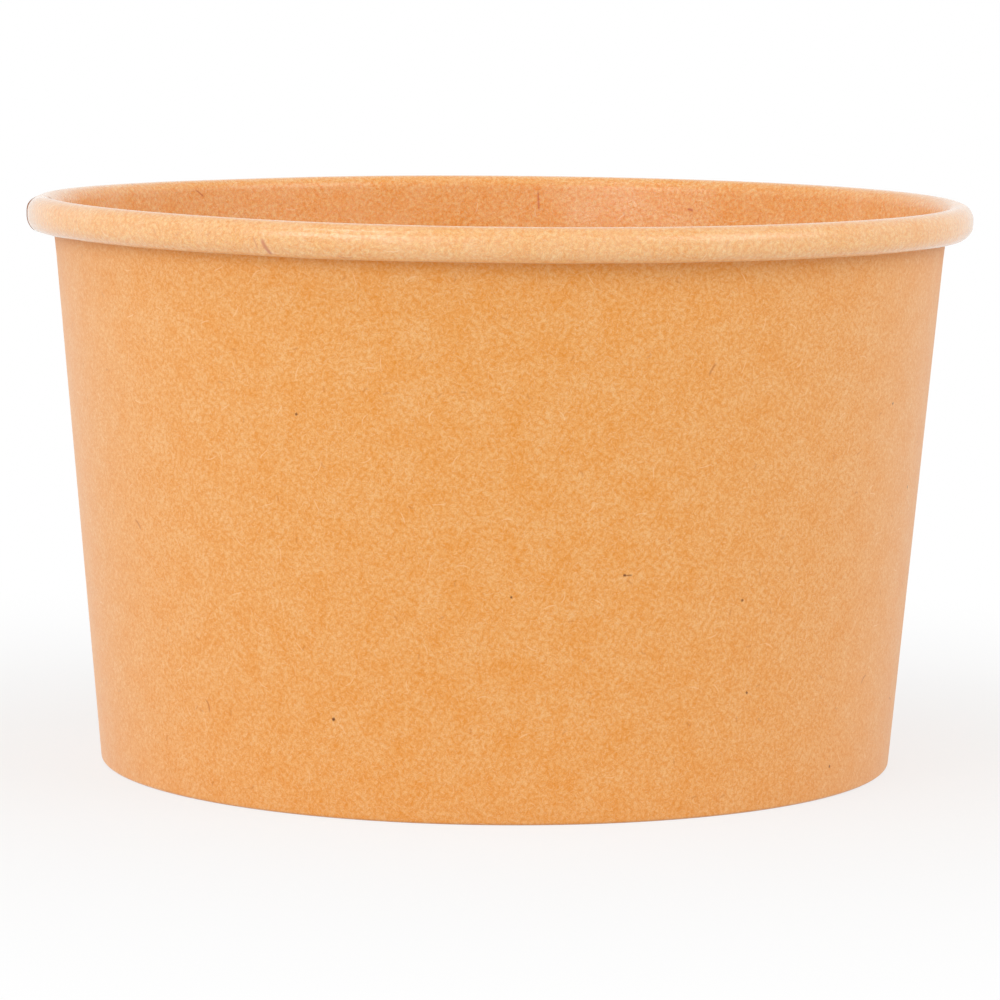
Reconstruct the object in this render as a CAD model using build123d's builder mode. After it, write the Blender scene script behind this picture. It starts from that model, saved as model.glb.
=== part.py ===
"""Paper ice cream tub: a wrapped and brim-curled side wall with a bottom disc sealed into its hem.

Millimetres, +Z up. The origin is the centre of the ring that the tub stands on, and -Y is its front.
"""

import os
from math import asin, atan2, cos, degrees, hypot, radians, sin, tan

from build123d import *

# Tub as a whole
rim_diameter = 96.0  # across the outside of the rolled brim
base_diameter = 80.8  # outside of the wall, carried down to the base plane
tub_height = 57.3  # base plane to the top of the brim

# Board stock, each with its coating
wall_board = 0.36
disc_board = 0.30

# Rolled brim
brim_width = 2.97  # across the roll, wall included
brim_drop = 0.48  # straight stretch down the outside of the roll
brim_tuck = 0.45  # end of the board that stands up inside the roll
curl_gap = 0.12  # between the tucked end and the wall

# Bottom disc, its skirt and the hem that holds it
base_recess = 7.0  # base plane to the underside of the disc
disc_bend = 0.50  # outside radius where the disc turns down into its skirt
seal_gap = 0.03  # each side of the skirt in its pocket
hem_gap = 0.80  # cut edge of the hem to the underside of the disc

# Lapped side seam
seam_bearing = 183.0  # degrees from +X to the cut edge of the inner ply
seam_lap = 7.0  # width of the lap at the base
seam_rise = 3.0  # width over which the inner ply steps in
seam_press_share = 0.45  # step at the pressed seam, as a share of the board
seam_bite_share = 0.5  # depth at which the inner ply joins the wall, as a share of the board
seam_feather_share = 0.1  # depth at which the step begins and ends, as a share of the board
seam_roll_turn = 115.0  # degrees that the lap follows the underside of the roll

# Slope of the wall: the line from the base corner that is tangent to the roll's inner circle
rim_radius = rim_diameter / 2
base_radius = base_diameter / 2
crown_radius = brim_width / 2
crown_x = rim_radius - crown_radius
crown_z = tub_height - crown_radius
crown_reach = hypot(crown_x - base_radius, crown_z)
taper = atan2(crown_x - base_radius, crown_z) - asin((crown_radius - wall_board) / crown_reach)
along = Vector(sin(taper), cos(taper))  # up the wall
across = Vector(cos(taper), -sin(taper))  # from the inside face to the outside face

# Underside of the roll, kept clear of the wall at the top of the tucked end
drop_z = crown_z - brim_drop
tuck_reach = base_radius + (drop_z + brim_tuck) * tan(taper)
under_radius = (rim_radius - curl_gap - tuck_reach) / 2

# Pocket between wall and hem, the pressed fold below it and the skirt that fills it
pocket = disc_board + 2 * seal_gap
fold_radius = wall_board
hem_top = base_recess - hem_gap
disc_top = base_recess + disc_board
skirt_foot = wall_board + seal_gap

# Seam in degrees and in depth
lap_angle = degrees(seam_lap / base_radius)
rise_angle = degrees(seam_rise / base_radius)
seam_step = seam_press_share * wall_board
seam_bite = seam_bite_share * wall_board
seam_feather = seam_feather_share * wall_board
lap_start = seam_bearing - lap_angle
rise_start = lap_start - rise_angle
lap_foot = disc_top + seal_gap
groove_top = drop_z - under_radius


def bearing_plane(bearing):
    """Upright plane through the axis: local X runs outward at the bearing, local Y runs up."""
    turn = radians(bearing)
    return Plane(origin=(0, 0, 0), x_dir=(cos(turn), sin(turn), 0), z_dir=(sin(turn), -cos(turn), 0))


def wall_point(depth, height):
    """Point on a line parallel to the wall, at a depth below its inside face and a height above the base."""
    return Vector(base_radius + height * tan(taper) - (wall_board - depth) / cos(taper), height)


def crown_foot(depth):
    """Point where the wall runs into the crown of the roll."""
    return Vector(crown_x, crown_z) - across * (crown_radius - depth)


def foot_points(depth):
    """Corners of one face of the board from the cut edge of the hem, round the fold, to the crown."""
    return [
        wall_point(-pocket - depth, hem_top),
        wall_point(-pocket - depth, wall_board - depth),
        wall_point(depth, wall_board - depth),
        crown_foot(depth),
    ]


def roll_line(depth, under_turn):
    """Section line over the crown, down the outside and round the underside of the roll."""
    crown = JernArc(crown_foot(depth), along, crown_radius - depth, degrees(taper) - 180)
    drop = Line(crown @ 1, crown @ 1 - Vector(0, brim_drop))
    under = JernArc(drop @ 1, drop % 1, under_radius - depth, -under_turn)
    return under @ 1


def lap_outline(face_depth):
    """Section of the inner ply from its coated face down to where it joins the wall."""
    face = Line(wall_point(face_depth, lap_foot), crown_foot(face_depth))
    bite = Line(wall_point(seam_bite, lap_foot), crown_foot(seam_bite))
    Line(face @ 0, bite @ 0)
    Line(roll_line(face_depth, seam_roll_turn), roll_line(seam_bite, seam_roll_turn))


def groove_outline(floor_depth):
    """Section of the groove beside the outer ply, from its floor to just outside the wall."""
    outside_depth = wall_board + seam_step
    Polyline(
        wall_point(floor_depth, fold_radius),
        wall_point(outside_depth, fold_radius),
        wall_point(outside_depth, groove_top),
        wall_point(floor_depth, groove_top),
        close=True,
    )


def disc_points(depth):
    """Corners of one face of the bottom from its centre to the cut edge of the skirt."""
    skirt_depth = -seal_gap - depth
    top = disc_top - depth
    return [(0, top), wall_point(skirt_depth, top), wall_point(skirt_depth, skirt_foot)]


os.makedirs("parts", exist_ok=True)

# Side wall: hem, cone and rolled brim are one blank, wrapped and sealed along the lapped seam
with BuildPart() as side_wall:
    with BuildSketch(Plane.XZ):
        with BuildLine():
            inside = Polyline(*foot_points(0))
            outside = FilletPolyline(*foot_points(wall_board), radius=fold_radius)
            Line(inside @ 0, outside @ 0)
            inside_roll = roll_line(0, 180)
            outside_roll = roll_line(wall_board, 180)
            inside_tuck = Line(inside_roll, inside_roll + Vector(0, brim_tuck))
            outside_tuck = Line(outside_roll, outside_roll + Vector(0, brim_tuck))
            Line(inside_tuck @ 1, outside_tuck @ 1)
        make_face()
    revolve(axis=Axis.Z)

    # Rise of the seam's inner ply from the wall up to the lap
    with BuildSketch(bearing_plane(rise_start)):
        with BuildLine():
            lap_outline(seam_feather)
        make_face()
    with BuildSketch(bearing_plane(lap_start)):
        with BuildLine():
            lap_outline(-seam_step)
        make_face()
    loft(ruled=True)

    # Lap of the inner ply, over the inside of the wall and round the outside of the roll
    with BuildSketch(bearing_plane(lap_start)):
        with BuildLine():
            lap_outline(-seam_step)
        make_face()
    revolve(axis=Axis.Z, revolution_arc=lap_angle)

    # Groove that the rise leaves outside, up to the cut edge of the outer ply
    with BuildSketch(bearing_plane(rise_start)):
        with BuildLine():
            groove_outline(wall_board + seam_feather)
        make_face()
    with BuildSketch(bearing_plane(lap_start)):
        with BuildLine():
            groove_outline(wall_board - seam_step)
        make_face()
    loft(ruled=True, mode=Mode.SUBTRACT)

side_wall.part.label = "side_wall"
export_step(side_wall.part, "parts/side_wall.step")

# Bottom disc: a round blank with its edge drawn down into a skirt that fills the hem's pocket
with BuildPart() as bottom_disc:
    with BuildSketch(Plane.XZ):
        with BuildLine():
            upper = FilletPolyline(*disc_points(0), radius=disc_bend)
            under = Polyline(*disc_points(disc_board))
            Line(upper @ 0, under @ 0)
            Line(upper @ 1, under @ 1)
        make_face()
    revolve(axis=Axis.Z)

bottom_disc.part.label = "bottom_disc"
export_step(bottom_disc.part, "parts/bottom_disc.step")
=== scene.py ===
import math

import bpy
import numpy as np
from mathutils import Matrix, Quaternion, Vector


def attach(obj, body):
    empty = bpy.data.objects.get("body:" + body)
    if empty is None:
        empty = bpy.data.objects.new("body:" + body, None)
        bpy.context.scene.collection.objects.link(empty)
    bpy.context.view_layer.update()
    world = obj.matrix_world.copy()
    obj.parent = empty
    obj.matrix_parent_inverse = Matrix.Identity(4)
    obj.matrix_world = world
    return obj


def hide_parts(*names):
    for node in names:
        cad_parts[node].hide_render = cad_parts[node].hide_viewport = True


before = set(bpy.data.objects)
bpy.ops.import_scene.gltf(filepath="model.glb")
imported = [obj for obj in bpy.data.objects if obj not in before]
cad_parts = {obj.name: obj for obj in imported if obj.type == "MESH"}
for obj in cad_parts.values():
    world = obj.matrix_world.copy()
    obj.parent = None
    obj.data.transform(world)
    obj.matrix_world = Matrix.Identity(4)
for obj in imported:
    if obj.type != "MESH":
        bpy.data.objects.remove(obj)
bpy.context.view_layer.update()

# Side wall: a fan-shaped blank of unbleached kraft cup board, coated with polyethylene on the inside only.
# It is wrapped to a cone and heat-sealed along a lapped seam at the left. The top edge is rolled outward, so
# the brim shows the coated face, and the lower edge is folded in and up into the hem that holds the bottom.
rim_radius = 48.0  # every size of the tub is in millimetres
base_radius = 40.4
tub_height = 57.3
board = 0.36
brim_width = 2.97
brim_drop = 0.48  # straight stretch down the outside of the roll
brim_tuck = 0.45  # end of the board that stands up inside the roll
curl_gap = 0.12  # between that end and the wall
pocket = 0.36  # room for the skirt of the bottom between wall and hem
hem_top = 6.2
lap_foot = 7.33  # the lap shows from just above the bottom
seam_bearing = 183.0  # degrees from +X to the cut edge of the inner ply
seam_lap = 7.0
seam_rise = 3.0  # width over which the inner ply steps in
seam_step = 0.162
roll_press = 0.75  # share of the step that the curling die leaves outside the roll
roll_open = 0.5  # share by which the step opens again under the roll
hem_press = 0.35  # share of the step that is left in the pressed hem
hem_blend = 3.0  # height at which it is back to its full depth
groove_stop = 0.3  # the groove runs out this far below the drop of the roll
brim_lift = {  # how far the crown leaves the level, by bearing: the roll stands up beside the seam
    20: 0.13, 55: 0.08, 85: 0.02, 105: -0.02, 130: -0.17, 155: -0.07, 168: 0.02,
    184: 0.00, 187: 0.12, 190: 0.27, 196: 0.37, 204: 0.34, 214: 0.33, 231: 0.25,
    245: 0.11, 264: 0.02, 295: 0.00, 320: 0.05, 342: 0.09,
}
sway_ease = 3.0  # degrees over which the lift is eased
under_lift = 0.45  # share of that lift at the underside of the roll
under_set = 0.13  # how far the underside hangs below its true round
curl_ease = 0.10  # how far the wall already leans out where the roll begins
ease_start = 4.5  # the lean begins this far below the middle of the crown
ease_end = 0.2  # and is full this far above it
ripple_height = 0.014  # deviation of the wavy underside
stiff_bearing = 187.0  # here the double board of the lap keeps the roll narrow and lets it hang
pinch_depth = 0.08  # how much narrower the roll is there
pinch_spread = 12.0  # degrees
slump_depth = 0.15  # how much lower its underside is there
slump_spread = 10.0  # degrees
column_step = 0.8  # degrees between the columns of the mesh
column_room = 0.3  # degrees that are kept free beside the columns of the seam
hem_rows = 7
fold_rows = 7
wall_rows = 34
crown_rows = 26
under_rows = 20
edge_hair = 0.006  # half the width, in degrees, that the face of a cut edge takes
crease_angle = 35  # a bend sharper than this many degrees shows as an edge
finish_numbers = {"coated": 0, "bare": 1, "cut": 2}  # order of the materials on each piece

crown_radius = brim_width / 2
crown = np.array([rim_radius - crown_radius, tub_height - crown_radius])
reach = crown - [base_radius, 0]
taper = math.atan2(*reach) - math.asin((crown_radius - board) / math.hypot(*reach))
across = np.array([math.cos(taper), -math.sin(taper)])  # from the coated face to the bare face
drop_z = crown[1] - brim_drop
tuck_reach = base_radius + (drop_z + brim_tuck) * math.tan(taper)
under_radius = (rim_radius - curl_gap - tuck_reach) / 2
under = np.array([rim_radius - under_radius, drop_z])
lap_start = seam_bearing - math.degrees(seam_lap / base_radius)
rise_start = lap_start - math.degrees(seam_rise / base_radius)
mean_radius = (rim_radius + base_radius) / 2


def wall_point(depth, height):
    """Point of a line parallel to the wall, at a depth below its coated face."""
    return np.array([base_radius + height * math.tan(taper) - (board - depth) / math.cos(taper), height])


def blank_section():
    """Rows of the blank from the hem's cut edge to the end inside the roll.

    A row is its stretch of the blank, how far along that stretch it is, its point on the coated face and
    the direction through the board.
    """
    rows = []

    def straight(stretch, start, end, through, shares):
        for share in shares:
            rows.append((stretch, share, start + (end - start) * share, through))

    def bent(stretch, centre, radius, first, last, steps):
        for share in np.linspace(0, 1, steps):
            turn = math.radians(first + (last - first) * share)
            out = np.array([math.cos(turn), math.sin(turn)])
            rows.append((stretch, share, centre + radius * out, -out if radius else out))

    lean = math.degrees(taper)
    heel = wall_point(-pocket, board)
    toe = wall_point(0, board)
    top = crown - across * crown_radius
    lap_share = (lap_foot - board) / (top[1] - board)
    step_share = 0.0002  # the lap's lower end is a step between two close rows
    shares = [lap_share * 0.4, lap_share * 0.8, lap_share - step_share, lap_share + step_share]
    shares += list(np.linspace(lap_share, 1, wall_rows)[1:-1])
    straight("hem", wall_point(-pocket, hem_top), heel, -across, np.linspace(0, 1, hem_rows)[:-1])
    bent("heel", heel, 0, 180 - lean, 270, fold_rows)
    bent("toe", toe, 0, 270, 360 - lean, fold_rows)
    straight("wall", toe, top, across, shares)
    bent("crown", crown, crown_radius, 180 - lean, 0, crown_rows)
    bent("under", under, under_radius, 0, -180, under_rows)
    end = under - [under_radius, 0]
    straight("tuck", end, end + [0, brim_tuck], np.array([1.0, 0.0]), [0.5, 1])
    return rows


def smooth_step(value, start, end):
    """0 before start and 1 after end, eased between."""
    share = np.clip((value - start) / (end - start), 0, 1)
    return share * share * (3 - 2 * share)


def ring_wave(bearings, waves, fall, seed):
    """Wander of an edge once round the tub, with a deviation of 1, from a seeded sum of waves."""
    draw = np.random.default_rng(seed)
    turn = np.radians(bearings)
    wander = sum(draw.normal() * k**-fall * np.cos(k * turn + draw.uniform(0, 2 * math.pi)) for k in waves)
    return wander / wander.std()


def crown_sway(bearings):
    """Lift of the crown at each bearing, eased between the bearings that are listed."""
    marked = [(b + turns, lift) for turns in (0, 360, 720) for b, lift in brim_lift.items()]
    step = 2.0  # degrees
    ring = np.arange(0, 1080, step)
    level = np.interp(ring, *zip(*marked))
    ease = np.exp(-0.5 * (np.arange(-10, 11, step) / sway_ease) ** 2)
    return np.interp(bearings, ring, np.convolve(level, ease / ease.sum(), "same"))


def lap_held(stretch, share, height):
    """Share of the seam's step on the coated face, at a share of the way along a stretch of the blank.

    The step is pressed flat over the top of the roll, comes back outside it and dies out underneath.
    """
    if stretch == "wall":
        return height > lap_foot
    if stretch == "crown":
        return 1 - smooth_step(share, 0.05, 0.4) + roll_press * smooth_step(share, 0.6, 0.9)
    if stretch == "under":
        opened = roll_press * (1 + roll_open * smooth_step(share, 0, 0.4))
        return opened * (1 - smooth_step(share, 0.75, 0.95))
    return 0


def groove_held(stretch, height):
    """Share of the seam's step on the bare face: it is shallow in the hem and ends under the roll."""
    pressed = hem_press + (1 - hem_press) * smooth_step(height, 0, hem_blend)
    cleared = 1 - smooth_step(height, drop_z - under_radius, drop_z - groove_stop)
    held = {"hem": hem_press, "heel": hem_press, "toe": pressed, "wall": pressed * cleared}
    return held.get(stretch, 0)


def lay_faces(mesh_rows, columns, flip):
    """Quads of a grid that closes on itself after its last column; rows hold vertex numbers."""
    quads = []
    for low, high in zip(mesh_rows[:-1], mesh_rows[1:]):
        for j in range(columns):
            k = (j + 1) % columns
            quad = (low[j], low[k], high[k], high[j])
            quads.append(quad[::-1] if flip else quad)
    return quads


def make_piece(name, points, faces, coordinates, finishes):
    """Object from points in millimetres, with the board's flat coordinates and a finish for each face."""
    mesh = bpy.data.meshes.new(name)
    mesh.from_pydata([Vector(p) / 1000 for p in points], [], faces)
    layer = mesh.uv_layers.new(name="board_mm")
    for loop in mesh.loops:
        layer.uv[loop.index].vector = coordinates[loop.vertex_index]
    mesh.polygons.foreach_set("material_index", finishes)
    mesh.shade_smooth()
    mesh.set_sharp_from_angle(angle=math.radians(crease_angle))
    made = bpy.data.objects.new(name, mesh)
    bpy.context.scene.collection.objects.link(made)
    return made


def build_side_wall():
    """The blank as one closed skin: coated face, bare face and the cut edges between them.

    Returns the piece and the length along the coated face at which the roll begins.
    """
    spread = np.arange(seam_bearing + column_step, seam_bearing + 360 - column_step / 2, column_step)
    marks = [rise_start + 360, lap_start + 360 - edge_hair, lap_start + 360 + edge_hair]
    marks += [seam_bearing + edge_hair, seam_bearing + 360 - edge_hair]
    spread = [b for b in spread if min(abs(b - m) for m in marks) > column_room]
    bearings = np.array(sorted(spread + marks))
    columns = len(bearings)
    turn = np.radians(bearings)
    lap = smooth_step(bearings, rise_start + 360, lap_start + 360)
    lap[0] = 0
    groove = np.where(bearings < lap_start + 360, lap, 0)
    sway = crown_sway(bearings)
    ripple = ripple_height * ring_wave(bearings, range(8, 40), fall=0.6, seed=4)
    from_stiff = (bearings - stiff_bearing + 180) % 360 - 180
    pinch = pinch_depth * np.exp(-((from_stiff / pinch_spread) ** 2))
    slump = slump_depth * np.exp(-((from_stiff / slump_spread) ** 2))

    points = []
    coordinates = []
    faces = []
    finishes = []
    grids = {}
    roll_lengths = {}
    for face in ("coated", "bare"):
        rows = []
        length = 0.0
        last = None
        for stretch, share, place, through in blank_section():
            if face == "coated" and stretch in ("heel", "toe") and share > 0:
                continue  # the fold presses this face into one crease
            section = place + through * (0 if face == "coated" else board)
            length += 0 if last is None else math.hypot(*(section - last))
            last = section
            if face == "coated":
                push = -seam_step * lap * lap_held(stretch, share, section[1])
                around = (bearings - seam_bearing) % 360
            else:
                push = -seam_step * groove * groove_held(stretch, section[1])
                around = (bearings - lap_start) % 360
            flare = {
                "wall": smooth_step(section[1], crown[1] - ease_start, crown[1] + ease_end),
                "crown": 1 - smooth_step(share, 0, 0.35),
            }.get(stretch, 0)
            rolled = {"crown": smooth_step(share, 0, 0.6), "under": 1, "tuck": 1}.get(stretch, 0)
            lower = {"under": smooth_step(share, 0, 0.5), "tuck": 1}.get(stretch, 0)
            warp = lower * 0.5 * ripple - rolled * (1 - lower) * pinch
            lifted = (rolled - lower * (1 - under_lift)) * sway
            radius = section[0] + through[0] * push + curl_ease * flare + warp
            height = section[1] + through[1] * push + lifted + lower * (ripple - slump - under_set)
            rows.append(range(len(points), len(points) + columns))
            points += zip(radius * np.cos(turn), radius * np.sin(turn), height)
            coordinates += zip(np.radians(around) * mean_radius, np.full(columns, length))
            if stretch == "crown" and share == 0:
                roll_lengths[face] = length
        quads = lay_faces(rows, columns, face == "coated")
        edge_column = columns - 1 if face == "coated" else int(np.argmax(groove))
        for number in range(len(quads)):
            on_edge = number % columns == edge_column
            finishes.append(finish_numbers["cut" if on_edge else face])
        faces += quads
        grids[face] = rows
    hem_edge = lay_faces([grids["bare"][0], grids["coated"][0]], columns, True)
    roll_edge = lay_faces([grids["bare"][-1], grids["coated"][-1]], columns, False)
    finishes += [finish_numbers["cut"]] * (len(hem_edge) + len(roll_edge))
    faces += hem_edge + roll_edge
    return make_piece("side_wall_board", points, faces, coordinates, finishes), roll_lengths["coated"]


def linear(colour):
    """Linear RGBA of an sRGB hex colour."""
    parts = [int(colour[i : i + 2], 16) / 255 for i in (1, 3, 5)]
    return [p / 12.92 if p <= 0.04045 else ((p + 0.055) / 1.055) ** 2.4 for p in parts] + [1]


def add(tree, kind, inputs=None, **settings):
    """Adds a node with its settings; an input is a value or the socket that it is linked from."""
    made = tree.nodes.new(kind)
    for name, value in settings.items():
        setattr(made, name, value)
    for name, value in (inputs or {}).items():
        if isinstance(value, bpy.types.NodeSocket):
            tree.links.new(value, made.inputs[name])
        else:
            made.inputs[name].default_value = value
    return made


def blank_material(name):
    """A new material and its node tree, emptied."""
    made = bpy.data.materials.new(name)
    made.use_nodes = True
    made.node_tree.nodes.clear()
    return made, made.node_tree


def calc(tree, operation, *values):
    """Result of an operation on numbers."""
    return add(tree, "ShaderNodeMath", dict(enumerate(values)), operation=operation).outputs[0]


def vector_calc(tree, operation, *values):
    """Result of an operation on vectors."""
    return add(tree, "ShaderNodeVectorMath", dict(enumerate(values)), operation=operation).outputs[0]


def turn_sheet(tree, vector, angle):
    """Coordinates turned in the plane of the sheet."""
    inputs = {"Vector": vector, "Angle": angle}
    return add(tree, "ShaderNodeVectorRotate", inputs, rotation_type="Z_AXIS").outputs[0]


def ramp(tree, value, start, end, low=0, high=1, kind="LINEAR"):
    """Value carried from one range to another and held at the ends."""
    inputs = {0: value, 1: start, 2: end, 3: low, 4: high}
    return add(tree, "ShaderNodeMapRange", inputs, interpolation_type=kind).outputs[0]


def clouds(tree, vector, size, detail, roughness=0.5, lacunarity=2.0):
    """Cloudy pattern whose broadest patches are about a size in millimetres."""
    inputs = {"Vector": vector, "Scale": 1 / size, "Detail": detail}
    inputs.update({"Roughness": roughness, "Lacunarity": lacunarity})
    return add(tree, "ShaderNodeTexNoise", inputs, noise_dimensions="2D")


def lay_over(tree, under_colour, over_colour, mask, strength):
    """Colour laid over another through a mask."""
    inputs = {0: calc(tree, "MULTIPLY", mask, strength), 6: under_colour, 7: over_colour}
    return add(tree, "ShaderNodeMix", inputs, data_type="RGBA").outputs[2]


def fibre_mask(tree, offset, angle, bow, length, width):
    """Mask of one fibre: it lies at an angle, bows to one side and fades at its ends; in millimetres."""
    axes = add(tree, "ShaderNodeSeparateXYZ", {0: turn_sheet(tree, offset, angle)})
    curve = calc(tree, "MULTIPLY", axes.outputs[0], axes.outputs[0])
    side = calc(tree, "ABSOLUTE", calc(tree, "MULTIPLY_ADD", curve, bow, axes.outputs[1]))
    end = calc(tree, "ABSOLUTE", axes.outputs[0])
    body = ramp(tree, side, width * 0.75, width * 0.1, kind="SMOOTHSTEP")
    ends = ramp(tree, end, length / 2, length / 4, kind="SMOOTHSTEP")
    return calc(tree, "MULTIPLY", body, ends)


def strew(tree, sheet, cell, length, width, share, seed):
    """Mask of short fibres lying every way in the sheet, at most one in a cell; sizes in millimetres."""
    place = vector_calc(tree, "ADD", sheet, (seed * 37.7, seed * 91.3, 0))
    inputs = {"Vector": place, "Scale": 1 / cell}
    cells = add(tree, "ShaderNodeTexVoronoi", inputs, voronoi_dimensions="2D")
    chance = add(tree, "ShaderNodeSeparateColor", {0: cells.outputs["Color"]})
    offset = vector_calc(tree, "SUBTRACT", place, cells.outputs["Position"])
    angle = calc(tree, "MULTIPLY", chance.outputs[0], 2 * math.pi)
    bend = 0.8 / length  # the strongest bow that a fibre has
    bow = ramp(tree, chance.outputs[2], 0, 1, -bend, bend)
    there = calc(tree, "GREATER_THAN", chance.outputs[1], 1 - share)
    return calc(tree, "MULTIPLY", fibre_mask(tree, offset, angle, bow, length, width), there)


def kraft_pulp(tree, tones, seed, mottle, marks=()):
    """Unbleached pulp as a sheet: cloudy flocs, a mat of short fibres, odd slivers and bark specks.

    A mark is a sliver or speck at a set place: its tone, centre, length, width, lean and strength.
    Returns the coordinates in millimetres, the colour and the height of the fibres.
    """
    sheet = add(tree, "ShaderNodeUVMap", uv_map="board_mm").outputs[0]
    place = vector_calc(tree, "ADD", sheet, (seed * 53.1, seed * 17.9, 0))
    turned = turn_sheet(tree, place, 0.6)  # so that no pattern runs level round the tub
    stir = clouds(tree, turned, size=0.8, detail=1.0)
    stir_reach = (0.3, 0.3, 0)  # how far the mat is stirred, so that its fibres don't lie in cells
    stirred = vector_calc(tree, "MULTIPLY_ADD", stir.outputs["Color"], stir_reach, turned)
    flocs = clouds(tree, turned, size=3.0, detail=4.0, roughness=0.62, lacunarity=2.3).outputs[0]
    cloud = ramp(tree, flocs, 0.28, 0.72)
    mixed = {0: cloud, 6: linear(tones["deep"]), 7: linear(tones["ground"])}
    colour = add(tree, "ShaderNodeMix", mixed, data_type="RGBA").outputs[2]
    grain = clouds(tree, stirred, size=0.40, detail=2.0, roughness=0.7, lacunarity=2.3).outputs[0]
    colour = lay_over(tree, colour, linear(tones["fibre"]), ramp(tree, grain, 0.3, 0.7), mottle)
    fuzz = clouds(tree, place, size=0.1, detail=1.0).outputs[0]
    thick = ramp(tree, flocs, 0.3, 0.7, 1.0, 0.55)

    # Softwood fibres are about 0.03 mm wide. They are drawn 0.1 to 0.2 mm wide so that they show.
    short_fibres = strew(tree, stirred, cell=0.26, length=0.34, width=0.14, share=0.65, seed=1)
    long_fibres = strew(tree, stirred, cell=0.50, length=0.58, width=0.17, share=0.45, seed=7)
    pale_fibres = strew(tree, stirred, cell=0.42, length=0.52, width=0.11, share=0.50, seed=2)
    layers = (
        ("fibre", calc(tree, "MULTIPLY", short_fibres, thick), 0.36),
        ("fibre", calc(tree, "MULTIPLY", long_fibres, thick), 0.66),
        ("pale", pale_fibres, 0.32),
        ("shade", ramp(tree, fuzz, 0.35, 0.65), 0.25),
        ("pale", strew(tree, place, cell=4.4, length=1.5, width=0.10, share=0.35, seed=3), 0.6),
        ("sliver", strew(tree, place, cell=3.6, length=0.8, width=0.20, share=0.14, seed=4), 0.32),
        ("sliver", strew(tree, place, cell=17.0, length=1.6, width=0.24, share=0.25, seed=5), 0.6),
        ("bark", strew(tree, place, cell=9.0, length=0.30, width=0.30, share=0.08, seed=6), 0.8),
    )
    for tone, mask, strength in layers:
        colour = lay_over(tree, colour, linear(tones[tone]), mask, strength)
    for tone, centre, length, width, lean, strength in marks:
        offset = vector_calc(tree, "SUBTRACT", sheet, (*centre, 0))
        mask = fibre_mask(tree, offset, -math.radians(lean), 0.0, length, width)
        colour = lay_over(tree, colour, linear(tones[tone]), mask, strength)
    return place, colour, calc(tree, "MULTIPLY_ADD", pale_fibres, 0.6, grain)


def film_skin(tree, place):
    """Roughness and bump of the extruded film: patches of the chill roll's gloss over fine orange peel."""
    peel = clouds(tree, place, size=0.40, detail=2.0, roughness=0.6).outputs[0]
    patches = clouds(tree, place, size=3.5, detail=3.0, roughness=0.6).outputs[0]
    gloss = ramp(tree, patches, 0.3, 0.7, 0.17, 0.40)
    bump = add(tree, "ShaderNodeBump", {"Height": peel, "Strength": 0.5, "Distance": 0.00008})
    return gloss, bump.outputs[0]


piece, roll_length = build_side_wall()

# Unbleached kraft, calendered and left bare: dry and matte, its fibres show as a fine mat of darker and paler
# hairs, and the fuzz on the sheet pales it where it turns away from the eye.
bare_tones = {
    "ground": "#F2BE7F",
    "deep": "#EEAB60",
    "fibre": "#E38C22",
    "pale": "#F3C998",
    "shade": "#B97A40",
    "sliver": "#B8651F",
    "bark": "#5E2800",
}
bare_mottle = 0.74
bare_marks = (  # the specks that stand out at the front, one of them with a tail
    ("bark", (57.9, 16.8), 0.42, 0.34, 20, 0.95),
    ("bark", (87.5, 31.3), 0.34, 0.26, 0, 0.90),
    ("bark", (87.9, 31.28), 0.90, 0.16, 0, 0.60),
    ("bark", (76.25, 29.3), 0.26, 0.24, 0, 0.85),
)
bare_kraft, tree = blank_material("unbleached_kraft_calendered")
_, colour, relief = kraft_pulp(tree, bare_tones, seed=1, mottle=bare_mottle, marks=bare_marks)
tooth = add(tree, "ShaderNodeBump", {"Height": relief, "Strength": 0.25, "Distance": 0.00004})
shader = add(
    tree,
    "ShaderNodeBsdfPrincipled",
    {
        "Base Color": colour,
        "Roughness": 0.65,
        "Specular IOR Level": 0.2,
        "Sheen Weight": 0.43,
        "Sheen Roughness": 0.5,
        "Normal": tooth.outputs[0],
    },
)
add(tree, "ShaderNodeOutputMaterial", {0: shader.outputs[0]})

# The same kraft under extruded polyethylene: the film wets the fibres, so the sheet looks deeper, with a soft
# uneven gloss. Its pale patches stand partly for milky film where it is thick and partly for a painted sheen.
# Round the roll the film is drawn tight, which makes it glossier, with fine creases across the brim, and the
# roll is painted paler
# down its outer face: partly whitened film, partly a painted reflection of the white floor.
coated_tones = {
    "ground": "#FACD88",
    "deep": "#F7BC6A",
    "fibre": "#EA8C0C",
    "pale": "#F6D4A8",
    "shade": "#8E5420",
    "sliver": "#BC5602",
    "bark": "#5E2800",
}
coated_mottle = 0.95
# pale patch tone: partly milky film, partly painted sheen
milky_film_and_painted_sheen = "#F8DCB8"
# paler tone of the roll: partly drawn, whitened film, partly a painted reflection of the white floor
drawn_film_and_painted_reflection = "#F3D2AC"
coated_marks = (  # the slivers that stand out on the roll and inside
    ("sliver", (45.2, 67.2), 1.4, 0.14, 68, 0.6),
    ("sliver", (46.2, 67.6), 2.2, 0.40, 64, 1.0),
    ("sliver", (241.5, 61.95), 1.6, 0.18, 35, 0.85),
    ("sliver", (201.8, 60.75), 2.6, 0.22, 86, 0.75),
    ("sliver", (184.6, 60.2), 0.9, 0.30, 10, 0.9),
)
coated_kraft, tree = blank_material("unbleached_kraft_polyethylene_coated")
place, colour, _ = kraft_pulp(tree, coated_tones, seed=2, mottle=coated_mottle, marks=coated_marks)
gloss, film_bump = film_skin(tree, place)
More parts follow.
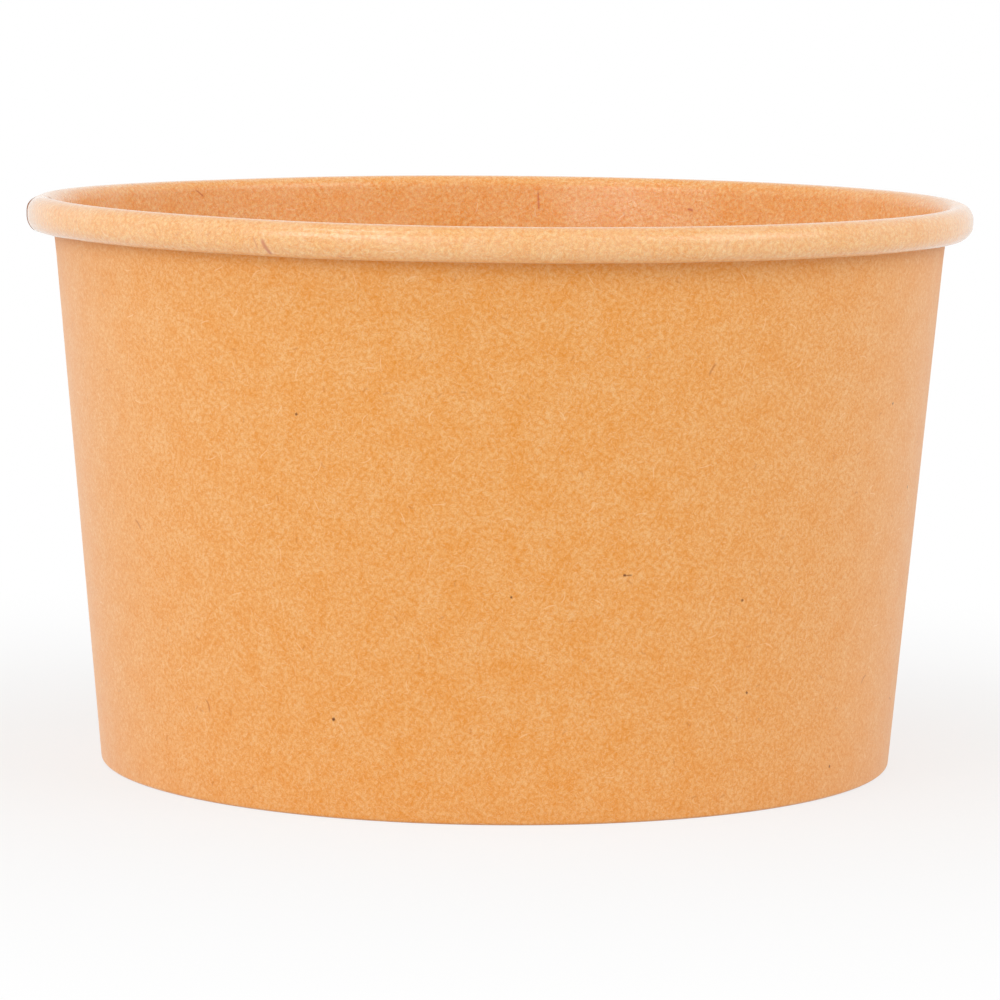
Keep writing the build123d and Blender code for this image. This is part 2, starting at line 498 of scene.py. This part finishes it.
# random pale patches over the coated kraft: partly milky film where it is thick, partly painted sheen
film = clouds(tree, place, size=6.0, detail=4.0, roughness=0.65).outputs[0]
milk_and_painted_sheen = ramp(tree, film, 0.38, 0.72)
colour = lay_over(tree, colour, linear(milky_film_and_painted_sheen), milk_and_painted_sheen, strength=0.12)
sheet = add(tree, "ShaderNodeUVMap", uv_map="board_mm").outputs[0]
up_blank = add(tree, "ShaderNodeSeparateXYZ", {0: sheet}).outputs[1]
on_roll = ramp(tree, up_blank, roll_length + 1.6, roll_length + 4.0)
tight = ramp(tree, up_blank, roll_length + 0.4, roll_length + 1.8, 1, 0.32)
drawn = vector_calc(tree, "MULTIPLY", place, (1 / 0.5, 1 / 5.0, 0))  # creases 0.5 mm wide and 5 mm long
creases = clouds(tree, drawn, size=1.0, detail=3.0, roughness=0.65).outputs[0]
# the roll is painted paler down its outer face towards the underside: partly whitened film, partly a painted
# reflection of the white floor
drawn_pale_and_painted_reflection = calc(tree, "MULTIPLY", ramp(tree, creases, 0.3, 0.7, 0.6, 1), on_roll)
colour = lay_over(tree, colour, linear(drawn_film_and_painted_reflection), drawn_pale_and_painted_reflection, strength=0.30)
crease_bump = add(
    tree,
    "ShaderNodeBump",
    {
        "Height": calc(tree, "MULTIPLY", creases, on_roll),
        "Strength": 0.15,
        "Distance": 0.0001,
        "Normal": film_bump,
    },
)
shader = add(
    tree,
    "ShaderNodeBsdfPrincipled",
    {
        "Base Color": colour,
        "Roughness": 0.55,
        "Specular IOR Level": 0.15,
        "Coat Weight": 1.0,
        "Coat Roughness": calc(tree, "MULTIPLY", gloss, tight),
        "Coat IOR": 1.51,
        "Coat Normal": crease_bump.outputs[0],
        "Sheen Weight": 0.2,
        "Sheen Roughness": 0.3,
    },
)
add(tree, "ShaderNodeOutputMaterial", {0: shader.outputs[0]})

# Sheared edge of the kraft board: the cut pulp is open and dry, and its tones are darkened further as a
# painted shade of the seam's step, so the edge shows as a thin line that is darker than the sheet.
# dark edge tones: partly the cut pulp's own colour, partly painted shade
edge_and_painted_shade_tones = dict(bare_tones, ground="#9C6748", deep="#8C583C", fibre="#7A4A2E")
cut_edge, tree = blank_material("kraft_board_sheared_edge_and_painted_shade")
_, colour, _ = kraft_pulp(tree, edge_and_painted_shade_tones, seed=3, mottle=bare_mottle)
shader = add(tree, "ShaderNodeBsdfPrincipled", {"Base Color": colour, "Roughness": 0.9, "IOR": 1.5})
add(tree, "ShaderNodeOutputMaterial", {0: shader.outputs[0]})

for finish in (coated_kraft, bare_kraft, cut_edge):
    piece.data.materials.append(finish)
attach(piece, "root")
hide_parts("side_wall")

# Bottom disc: a round blank of thinner kraft board, coated on top, with its edge drawn down into a skirt.
# The skirt stands in the pocket of the hem and is heat-sealed to the wall all round.
disc_board = 0.30
disc_under = 7.0  # base plane to the underside of the disc
disc_bend = 0.50  # outside radius where the disc turns down
seal_gap = 0.03
skirt_foot = board + seal_gap
disc_sag = 0.10  # the sheet doesn't lie quite flat between its sealed edges
pucker_height = 0.02  # deviation of the fine folds where the edge is drawn down
hub_radius = 0.5  # of the small flat face in the middle
disc_columns = 240
disc_rows = 34
bend_rows = 9


def build_bottom_disc():
    """The disc and its skirt as one closed skin, coated on top and bare below."""
    bearings = np.arange(disc_columns) * 360 / disc_columns
    turn = np.radians(bearings)
    lean = math.degrees(taper)
    disc_top = disc_under + disc_board
    edge = wall_point(-seal_gap, disc_top)[0]
    broad_swell = ring_wave(bearings, range(2, 5), fall=0.5, seed=11)
    short_swell = ring_wave(bearings, range(3, 9), fall=0.5, seed=12)
    pucker = pucker_height * ring_wave(bearings, range(40, 90), fall=0.0, seed=13)
    points = []
    coordinates = []
    faces = []
    finishes = []
    ends = []
    for face, depth in (("coated", 0), ("bare", disc_board)):
        level = disc_top - depth
        corner = wall_point(-seal_gap - depth, level)
        section = [(r, level) for r in np.linspace(hub_radius, corner[0] - disc_bend * 1.2, disc_rows)]
        if face == "coated":
            bend = disc_bend * math.tan(math.radians(90 + lean) / 2)
            centre = np.array([corner[0] - bend, level - disc_bend])
            for angle in np.radians(np.linspace(90, -lean, bend_rows)):
                section.append(tuple(centre + disc_bend * np.array([math.cos(angle), math.sin(angle)])))
        else:
            section.append(tuple(corner))
        foot = wall_point(-seal_gap - depth, skirt_foot)
        half_way = (section[-1][0] * 0.5 + foot[0] * 0.5, section[-1][1] * 0.5 + foot[1] * 0.5)
        section += [half_way, tuple(foot)]
        rows = []
        for radius, height in section:
            flat = 1 - smooth_step(radius, edge * 0.80, edge * 0.985)
            out = radius / edge
            rise = disc_sag * flat * (broad_swell * out**2 + 0.5 * short_swell * out**3 - 1.2)
            near_edge = smooth_step(radius, edge * 0.86, edge * 0.96)
            near_edge *= 1 - smooth_step(radius, edge * 0.97, edge * 0.985)
            rows.append(range(len(points), len(points) + disc_columns))
            points += zip(radius * np.cos(turn), radius * np.sin(turn), height + (rise + pucker * near_edge))
            stretch = radius + (disc_top - height if height < level - disc_bend else 0)
            coordinates += zip(stretch * np.cos(turn), stretch * np.sin(turn))
        quads = lay_faces(rows, disc_columns, face == "bare")
        hub = tuple(rows[0]) if face == "coated" else tuple(rows[0])[::-1]
        faces += quads + [hub]
        finishes += [finish_numbers[face]] * (len(quads) + 1)
        ends.append(rows[-1])
    foot_edge = lay_faces(ends, disc_columns, False)
    faces += foot_edge
    finishes += [finish_numbers["cut"]] * len(foot_edge)
    return make_piece("bottom_disc_board", points, faces, coordinates, finishes)


disc = build_bottom_disc()

# Polyethylene-coated kraft that lies flat: the same pulp and film as the wall's, so it is deep in colour with
# a soft uneven gloss, but without the creases of the roll.
flat_coated, tree = blank_material("disc_kraft_polyethylene_coated")
place, colour, _ = kraft_pulp(tree, coated_tones, seed=4, mottle=coated_mottle)
gloss, film_bump = film_skin(tree, place)
shader = add(
    tree,
    "ShaderNodeBsdfPrincipled",
    {
        "Base Color": colour,
        "Roughness": 0.55,
        "Specular IOR Level": 0.15,
        "Coat Weight": 1.0,
        "Coat Roughness": gloss,
        "Coat IOR": 1.51,
        "Coat Normal": film_bump,
    },
)
add(tree, "ShaderNodeOutputMaterial", {0: shader.outputs[0]})

for finish in (flat_coated, bare_kraft, cut_edge):
    disc.data.materials.append(finish)
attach(disc, "root")
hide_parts("bottom_disc")

# Floor: a plain white paper sheet under the tub, in metres. The eye sees it white away from the tub, and it
# keeps the tub's soft shadow close by.
floor_size = 14
floor_paper = "#E6E6E6"
shadow_start = 0.042  # from the middle of the tub
shadow_end = 0.14  # beyond this the floor is plain white
shadow_white = 0.7  # share of plain white that is left at the tub
bpy.ops.mesh.primitive_plane_add(size=floor_size)
floor = bpy.context.object
floor.name = "floor"


def in_view(tree):
    """1 for what the eye sees, directly, mirrored or through something, and 0 for light that is only cast."""
    path = add(tree, "ShaderNodeLightPath")
    seen = calc(tree, "MAXIMUM", path.outputs["Is Camera Ray"], path.outputs["Is Glossy Ray"])
    return calc(tree, "MAXIMUM", seen, path.outputs["Is Transmission Ray"])


# White paper, plain and matte: it shows nothing of its own but the tub's shadow.
paper_floor, tree = blank_material("white_paper_floor")
lit = add(tree, "ShaderNodeBsdfDiffuse", {"Color": linear(floor_paper)})
white = add(tree, "ShaderNodeEmission", {"Color": linear("#FFFFFF"), "Strength": 1.0})
from_tub = add(tree, "ShaderNodeTexCoord").outputs["Object"]
far = add(tree, "ShaderNodeVectorMath", {0: from_tub}, operation="LENGTH").outputs["Value"]
open_floor = ramp(tree, far, shadow_start, shadow_end, shadow_white, 1, "SMOOTHSTEP")
share = calc(tree, "MULTIPLY", open_floor, in_view(tree))
mixed = add(tree, "ShaderNodeMixShader", {0: share, 1: lit.outputs[0], 2: white.outputs[0]})
add(tree, "ShaderNodeOutputMaterial", {0: mixed.outputs[0]})
floor.data.materials.append(paper_floor)

# Studio light: an even white tent, a soft key lamp at the upper left, a tall lamp left of the camera, a small
# one overhead at the left and a broad one at the right. Two side lamps fill the ends of the tub and are kept
# out of the film's reflections.
tent_strength = 0.61
world = bpy.data.worlds.new("white_tent")
bpy.context.scene.world = world
world.use_nodes = True
tree = world.node_tree
tree.nodes.clear()
tent = add(tree, "ShaderNodeBackground", {"Color": linear("#FFFFFF"), "Strength": tent_strength})
backdrop = add(tree, "ShaderNodeBackground", {"Color": linear("#FFFFFF"), "Strength": 1.0})
mixed = add(tree, "ShaderNodeMixShader", {0: in_view(tree), 1: tent.outputs[0], 2: backdrop.outputs[0]})
add(tree, "ShaderNodeOutputWorld", {0: mixed.outputs[0]})
lamp_target = Vector((0, 0, 0.03))
lamps = (  # name, place and size in metres, watts, whether the film reflects it
    ("key_lamp", (-0.95, -1.0, 0.62), (0.7, 0.7), 4.35, True),
    ("front_lamp", (-0.6, -1.25, 0.5), (0.8, 1.0), 3.3, True),
    ("overhead_lamp", (-0.67, -0.45, 1.5), (0.4, 0.4), 1.9, True),
    ("left_lamp", (-1.1, 0.2, 0.5), (1.0, 1.0), 2.9, False),
    ("right_lamp", (1.15, -0.62, 0.8), (1.0, 0.9), 5.6, True),
    ("right_side_lamp", (1.1, 0.2, 0.5), (1.0, 1.0), 2.9, False),
)
for name, spot, size, power, mirrored in lamps:
    lamp = bpy.data.lights.new(name, "AREA")
    lamp.shape = "RECTANGLE"
    lamp.size, lamp.size_y = size
    lamp.energy = power
    holder = bpy.data.objects.new(name, lamp)
    holder.visible_camera = False
    holder.visible_glossy = mirrored
    holder.location = spot
    holder.rotation_euler = (lamp_target - Vector(spot)).to_track_quat("-Z", "Y").to_euler()
    bpy.context.scene.collection.objects.link(holder)

# Camera: a long lens in front of the tub and a little above its brim, in metres. It looks slightly down and
# is rolled by about half a degree.
camera = bpy.data.objects.new("camera", bpy.data.cameras.new("camera"))
bpy.context.scene.collection.objects.link(camera)
camera.data.lens = 178.28
camera.data.sensor_width = 36.0
camera.location = (0.0, -0.50426, 0.08535)
look_at = Vector((0.000282, 0.0, 0.026452))
roll = Quaternion((0, 0, 1), 0.01012)
camera.rotation_mode = "QUATERNION"
camera.rotation_quaternion = (look_at - camera.location).to_track_quat("-Z", "Y") @ roll
camera.data.clip_start = 0.01
camera.data.clip_end = 50.0
bpy.context.scene.camera = camera
bpy.context.scene.view_settings.view_transform = "Standard"
